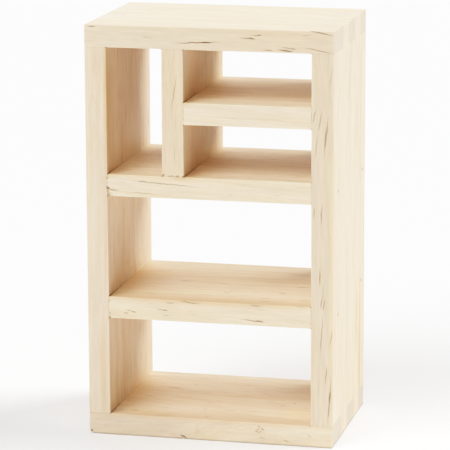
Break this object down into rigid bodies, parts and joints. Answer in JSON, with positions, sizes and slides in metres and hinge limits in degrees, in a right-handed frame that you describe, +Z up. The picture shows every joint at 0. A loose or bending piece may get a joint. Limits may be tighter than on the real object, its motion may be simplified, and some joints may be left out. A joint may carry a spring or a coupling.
{
  "type": "miniature bookcase",
  "caption": "Open-backed dolls house bookcase in plain pine: a tall box with comb-jointed corners, full-width shelves, and an upright divider with a short shelf beside it.",
  "frame": {"origin": "middle of the base, on the surface that the bookcase stands on", "axes": "+Z up; -Y towards the front, where the wide comb finger is; +X to the right of someone who looks at the front"},
  "size_m": [0.09, 0.06, 0.15],
  "materials": {
    "pine": "bare pine, sanded, unvarnished",
    "pin_steel": "bright steel wire, dulled at the head"
  },
  "bodies": {
    "root": {"top_board": "pine", "bottom_board": "pine", "left_side": "pine", "right_side": "pine", "upper_shelf": "pine", "lower_shelf": "pine", "divider": "pine", "short_shelf": "pine", "pins_right_upper": "pin_steel", "pins_right_lower": "pin_steel", "pins_left_upper": "pin_steel", "pins_left_lower": "pin_steel", "pins_divider_foot": "pin_steel", "pins_short_shelf": "pin_steel"}
  },
  "joints": []
}
